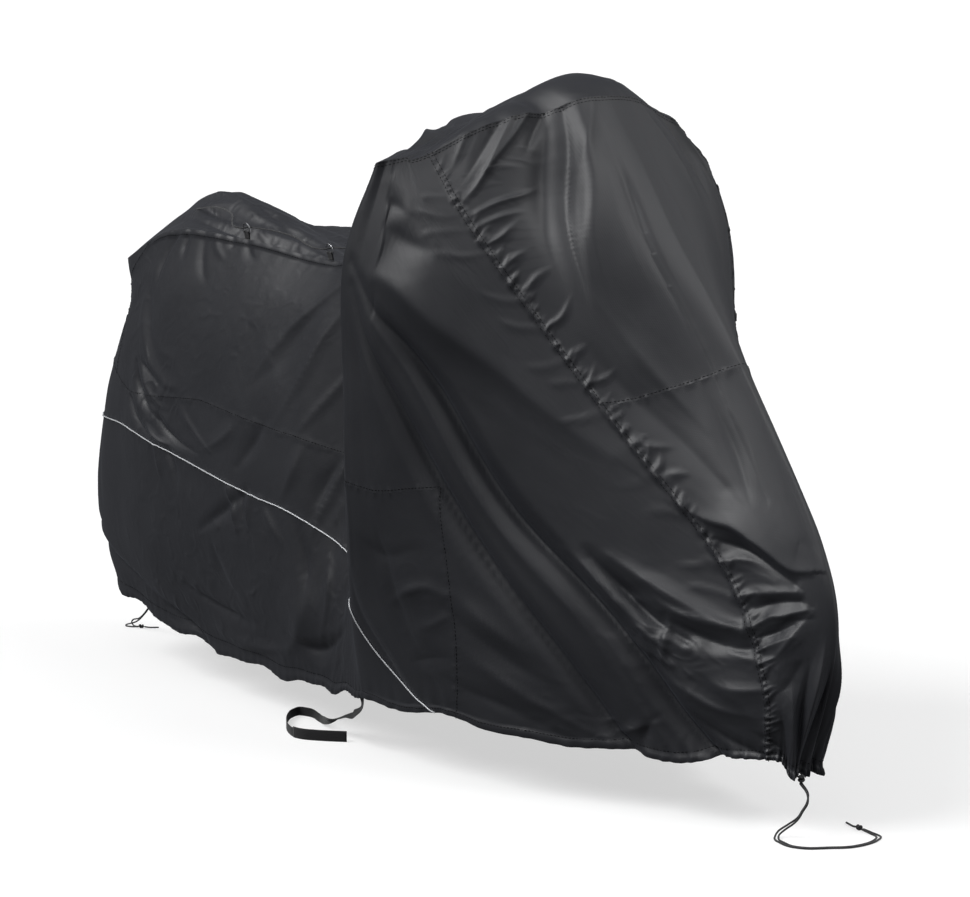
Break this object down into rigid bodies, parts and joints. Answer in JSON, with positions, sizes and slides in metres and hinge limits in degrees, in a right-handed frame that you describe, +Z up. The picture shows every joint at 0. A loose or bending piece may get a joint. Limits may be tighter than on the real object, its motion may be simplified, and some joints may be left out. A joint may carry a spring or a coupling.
{
  "type": "fitted motorcycle cover",
  "caption": "Fitted cloth cover hanging in folds over a left-out touring motorcycle, with gathered hem, piping, ring tabs, belly strap and drawcords.",
  "frame": {"origin": "the place under the top of the cap where the machine's windscreen head holds the cover up; the floor is 1.4142 m below it", "axes": "+X towards the machine's front, +Y to the machine's left, +Z up; the cover leans 2.95 degrees towards +Y with the machine on its side stand"},
  "size_m": [2.4588, 0.9101, 1.4176],
  "materials": {
    "cloth": "satin coated polyester, fine plain weave",
    "piping": "light grey reflective piping tape",
    "webbing": "ribbed polyester webbing",
    "cord": "braided cord",
    "ring": "polished nickel plating, a little dark"
  },
  "bodies": {
    "root": {"top_strip": "cloth", "cap": "cloth", "tail": "cloth", "front_upper": "cloth", "front_lower": "cloth", "side_main_right": "cloth", "side_main_left": "cloth", "side_band_right": "cloth", "side_band_left": "cloth", "side_low_right": "cloth", "side_low_left": "cloth", "piping_right": "piping", "piping_left": "piping", "ring_tab_right_1": "webbing", "d_ring_right_1": "ring", "ring_tab_right_2": "webbing", "d_ring_right_2": "ring", "ring_tab_left_1": "webbing", "d_ring_left_1": "ring", "ring_tab_left_2": "webbing", "d_ring_left_2": "ring", "lacing_right": "cord", "belly_strap": "webbing", "strap_end": "webbing", "front_knot": "cord", "front_strand_a": "cord", "front_strand_b": "cord", "front_end_knot": "cord", "front_tail": "cord", "rear_strand_a": "cord", "rear_strand_b": "cord", "rear_end_knot": "cord", "rear_tail": "cord"}
  },
  "joints": []
}
